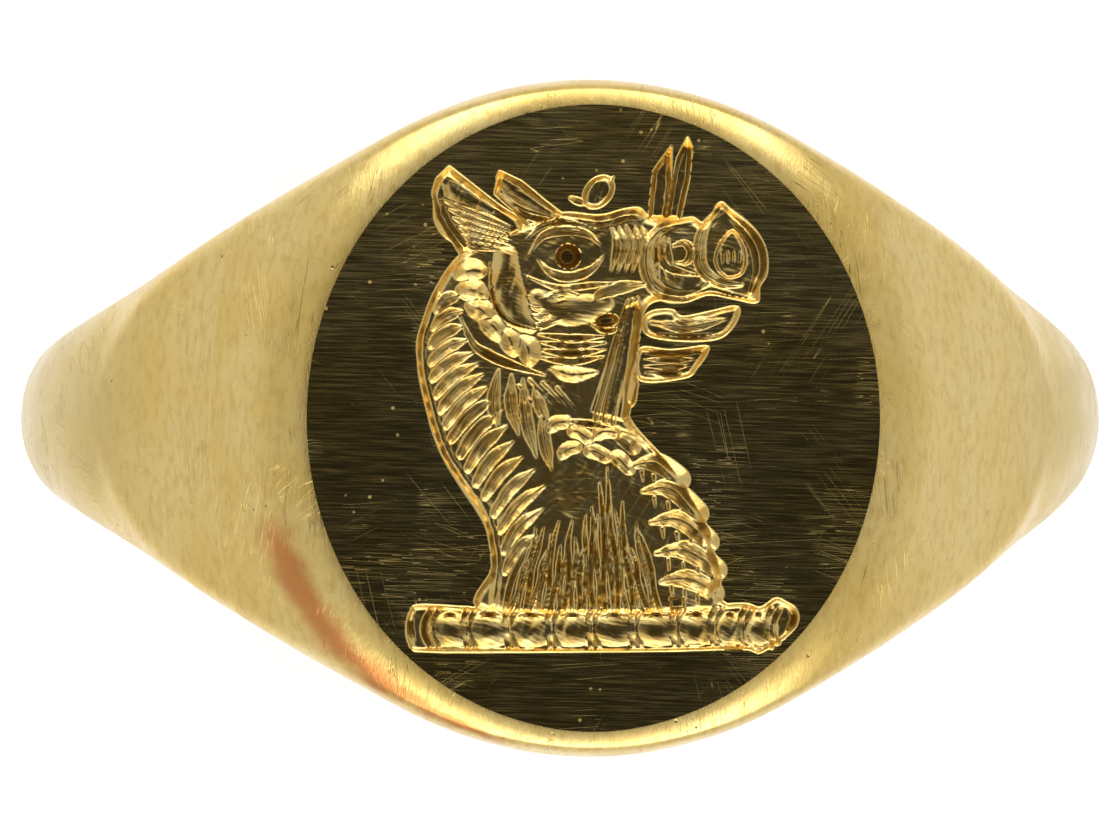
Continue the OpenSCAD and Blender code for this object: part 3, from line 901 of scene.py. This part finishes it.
def worn_gold_and_painted_light(name, streak=False, seed=0.0):
    """Satin gold of the ring's outside: cloudy polish, fine scratches, small pits, painted shade towards the
    band's ends and, where streak is set, a painted coppery reflection.
    """
    n = Material(name)
    x, y, _ = n.axes_mm()
    cloud = n.noise(n.moved((0.35, 0.35, 0.35), 0, (seed, 0, 0)), 3.0)
    grain = n.noise(n.moved((7, 3, 4), 0, (seed, 3, 0)), 3.0, 0.6)
    colour = n.blend(n.fade(cloud, 0.35, 0.65), GOLD, GOLD_PALE)
    colour = n.blend(n.fade(grain, 0.42, 0.72, 0, 0.5), colour, GOLD_DARK_AND_PAINTED_SHADE)
    # Painted shade: the band turns darker towards its far ends along X, from 8 to 10.8 mm out.
    colour = n.blend(n.fade(n.math("ABSOLUTE", x), 8.0, 10.8, 0.0, 0.8), colour, GOLD_PAINTED_SHADE)
    hairs = n.scratches(84, (seed, 1, 2), thin=0.02)
    for turn, shift, gaps in ((97, (4, seed, 5), 0.5), (35, (7, seed, 1), 0.6), (-40, (2, 8, seed), 0.6)):
        hairs = n.math("MAXIMUM", hairs, n.scratches(turn, shift, gaps=gaps))
    pits = n.pits(0.33, 0.36, (seed, 9, 4))
    # the pits are drawn in a dark colour
    colour = n.blend(n.math("MULTIPLY", pits, 0.7), colour, PIT_DARK_TONE)
    colour = n.blend(n.math("MULTIPLY", hairs, 0.45), colour, GOLD_DARK_AND_PAINTED_SHADE)
    if streak:
        # Painted reflection: a coppery streak along the rim at the lower left, on the head and the left
        # shoulder.
        colour = n.blend(n.math("MULTIPLY", painted_reflection_streak(n, x, y), 0.9), colour, PAINTED_REFLECTION_TINT)
    n.put("Base Color", colour)
    rough = n.fade(n.noise(n.moved((0.9,) * 3, 0, (1, seed, 2)), 4.0), 0.3, 0.7, 0.2, 0.32)
    n.put("Roughness", n.math("ADD", rough, n.math("MULTIPLY", hairs, 0.12)))
    satin = n.noise(n.moved((30, 5, 12), 5, (seed, 0, 0)), 3.0, 0.6)
    dents = n.math("ADD", hairs, n.math("MULTIPLY", pits, 2.0))
    height = n.math("SUBTRACT", n.math("MULTIPLY", satin, 0.6), dents)
    n.put("Normal", n.bump(height, 0.008, 0.9))
    return n.owner


def table_gold(name):
    """Brushed, mirror-like flat with stray scratches; the cuts are brighter and rougher, and painted shade
    darkens their deeper parts.
    """
    n = Material(name)
    _, y, z = n.axes_mm()
    cut = n.fade(z, table_z - 0.03, table_z - 0.006, 1.0, 0.0)
    brush = n.noise(n.moved((0.9, 30, 1), 1.5), 4.0, 0.65)
    hairs = n.scratches(2, (3, 1, 0), fine=14, long=0.6, thin=0.008, gaps=0.52)
    for turn, shift, gaps in ((-3, (8, 2, 0), 0.52), (52, (0, 4, 7), 0.58), (-57, (5, 5, 1), 0.58),
                              (78, (9, 3, 2), 0.6), (20, (2, 9, 3), 0.58), (-28, (6, 1, 8), 0.6)):
        stray = n.scratches(turn, shift, fine=3.2, long=0.08, thin=0.0022, gaps=gaps)
        hairs = n.math("MAXIMUM", hairs, stray)
    pits = n.pits(0.35, 0.45, (2, 6, 1))
    cloud = n.noise(n.moved((0.5,) * 3), 2.0)
    flat_colour = n.blend(n.fade(cloud, 0.3, 0.7), GOLD, GOLD_PALE)
    cut_colour = n.blend(n.fade(n.noise(n.moved((3,) * 3), 3.0), 0.35, 0.65), GOLD_CUT, GOLD_PALE)
    # Painted shade: the cuts turn darker the deeper their floor lies below the table.
    cut_colour = n.blend(n.fade(z, table_z - 0.5, table_z - 0.25, 0.6, 0.0), cut_colour, GOLD_DARK_AND_PAINTED_SHADE)
    colour = n.blend(cut, flat_colour, cut_colour)
    n.put("Base Color", colour)
    flat_rough = n.math("ADD", n.fade(brush, 0.36, 0.68, 0.16, 0.32), n.math("MULTIPLY", hairs, 0.34))
    flat_rough = n.math("ADD", flat_rough, n.math("MULTIPLY", pits, 0.4))
    flat_rough = n.math("ADD", flat_rough, n.fade(y, -2.0, 6.0, 0.0, 0.06))
    n.put("Roughness", n.fade(cut, 0.0, 1.0, flat_rough, 0.29))
    chatter = n.noise(n.moved((6, 18, 6), 25), 2.0)
    fine = n.bump(n.math("ADD", n.math("MULTIPLY", brush, 0.5), hairs), 0.002, 0.5)
    n.put("Normal", n.bump(n.math("MULTIPLY", chatter, cut), 0.02, 0.35, fine))
    return n.owner


def solder_gold(name, colour):
    n = Material(name)
    cloud = n.fade(n.noise(n.moved((4,) * 3), 3.0), 0.35, 0.65)
    n.put("Base Color", n.blend(cloud, colour, GOLD))
    n.put("Roughness", n.fade(n.noise(n.moved((7,) * 3), 2.0), 0.3, 0.7, 0.18, 0.34))
    n.put("Normal", n.bump(n.noise(n.moved((12,) * 3), 2.0), 0.004, 0.5))
    return n.owner


# ---------------------------------------------------------------- the pieces
SHANK_ANGLE = 90         # where the shoulders meet the shank, in degrees
BAND_STEP = 1.25         # degrees from one section of a band to the next
SEAM_STEP = 1


def build_side(side, sign, body, solder):
    """One shoulder, with the solder at both of its ends."""
    start = JOINT_ANGLE + seam_angle
    lengths = (
        ("shoulder_solder", JOINT_ANGLE, start, SEAM_STEP, "shoulder_seam", "solder", solder),
        ("shoulder_band", start, SHANK_ANGLE, BAND_STEP, "shoulder", "gold", body),
        ("shank_solder", SHANK_ANGLE, SHANK_ANGLE + seam_angle, SEAM_STEP, "shank_seam", "solder", solder),
    )
    for piece, near, far, step, node, slot, material in lengths:
        low, high = sorted((sign * near, sign * far))
        finish_piece(ring_length(f"{side}_{piece}", low, high, step), f"{side}_{node}", material)


def build_ring():
    outside = worn_gold_and_painted_light("worn_gold_and_painted_light_head", streak=True)
    solder = solder_gold("hard_solder", GOLD_PALE)
    polished = table_gold("table_solder_gold")
    finish_piece(table_plate_piece(), "table_plate", table_gold("engraved_gold"), 60)
    finish_piece(table_seam_piece(), "table_seam", polished)
    finish_piece(head_piece(), "head_body", outside, 30)
    for side, sign in (("left", -1), ("right", 1)):
        body = worn_gold_and_painted_light(f"worn_gold_and_painted_light_{side}", streak=side == "left", seed=3.0 + sign)
        build_side(side, sign, body, solder)
    shank = ring_length("shank", SHANK_ANGLE + seam_angle, 360 - SHANK_ANGLE - seam_angle, BAND_STEP)
    finish_piece(shank, "shank_back", worn_gold_and_painted_light("worn_gold_and_painted_light_shank", seed=11.0))


# ---------------------------------------------------------------- stage, light, camera
FLOOR_SIZE = 2.0         # half width of the floor, in metres
FLOOR_GLOW = 0.5, 0.12   # the floor's own light under the ring and far from it
GLOW_REACH = 16.0, 45.0  # where the one fades into the other, from the ring's middle


def build_floor():
    corners = ((-1, -1), (1, -1), (1, 1), (-1, 1))
    mesh = bpy.data.meshes.new("floor")
    mesh.from_pydata([(x * FLOOR_SIZE, y * FLOOR_SIZE, -back_r * MM) for x, y in corners], [], [(0, 1, 2, 3)])
    floor_obj = bpy.data.objects.new("floor", mesh)
    bpy.context.scene.collection.objects.link(floor_obj)
    n = Material("pale_floor", metallic=0.0)
    x, y, _ = n.axes_mm()
    away = n.math("SQRT", n.math("ADD", n.math("MULTIPLY", x, x), n.math("MULTIPLY", y, y)))
    n.put("Base Color", (0.9, 0.9, 0.89, 1))
    n.put("Roughness", 0.7)
    n.put("Specular IOR Level", 0.2)
    n.put("Emission Color", (1, 1, 0.99, 1))
    # Painted light: the floor glows, more strongly under the ring than far from it, which washes out the
    # ring's shadow.
    n.put("Emission Strength", n.fade(away, *GLOW_REACH, *FLOOR_GLOW))
    mesh.materials.append(n.owner)


BOX_LIGHT = 2.6          # the soft boxes at both ends of the finger's axis
TENT_LIGHT = 0.62
OVERHEAD_LIGHT = 0.015


def build_light():
    """A pale tent with a long soft box low on each side, and dark straight overhead."""
    world = bpy.data.worlds.new("tent")
    bpy.context.scene.world = world
    n = Nodes(world, "Generated")
    up = n.axes()[2]
    side = n.math("ABSOLUTE", n.axes()[1])
    box = n.math("MULTIPLY", n.fade(side, 0.6, 0.8, 0.0, BOX_LIGHT), n.fade(up, 0.02, 0.12))
    box = n.math("MULTIPLY", box, n.fade(up, 0.4, 0.6, 1.0, 0.0))
    tent = n.fade(up, 0.72, 0.85, TENT_LIGHT, OVERHEAD_LIGHT)
    background = n.tree.nodes["Background"]
    n.feed(background.inputs["Strength"], n.math("ADD", tent, box))
    n.feed(background.inputs["Color"], (1, 0.99, 0.97, 1))


CAMERA_TURN = 3.3        # degrees round the finger, towards the left shoulder
CAMERA_DISTANCE = 165.0  # to the table's plane
VIEW_WIDTH = 21.6384     # width of the table's plane that fills the picture
AIM = 0.03, -0.035       # what the camera looks at, from the table's middle
SENSOR = 36


def build_camera():
    camera = bpy.data.cameras.new("camera")
    camera.sensor_width = SENSOR
    camera.lens = SENSOR * CAMERA_DISTANCE / VIEW_WIDTH
    camera.clip_start, camera.clip_end = 0.005, 10
    obj = bpy.data.objects.new("camera", camera)
    a = radians(CAMERA_TURN)
    back = Vector((-sin(a), 0, cos(a)))
    up = Vector((0, 1, 0))
    right = up.cross(back)
    place = back * (CAMERA_DISTANCE + table_z) * MM
    aim = (right * AIM[0] + up * AIM[1]) * MM
    turn = Matrix((right, up, back)).transposed().to_4x4()
    obj.matrix_world = Matrix.Translation(place + aim) @ turn
    bpy.context.scene.collection.objects.link(obj)
    bpy.context.scene.camera = obj


bpy.context.scene.view_settings.view_transform = "Standard"
build_camera()
build_light()
build_floor()
build_ring()
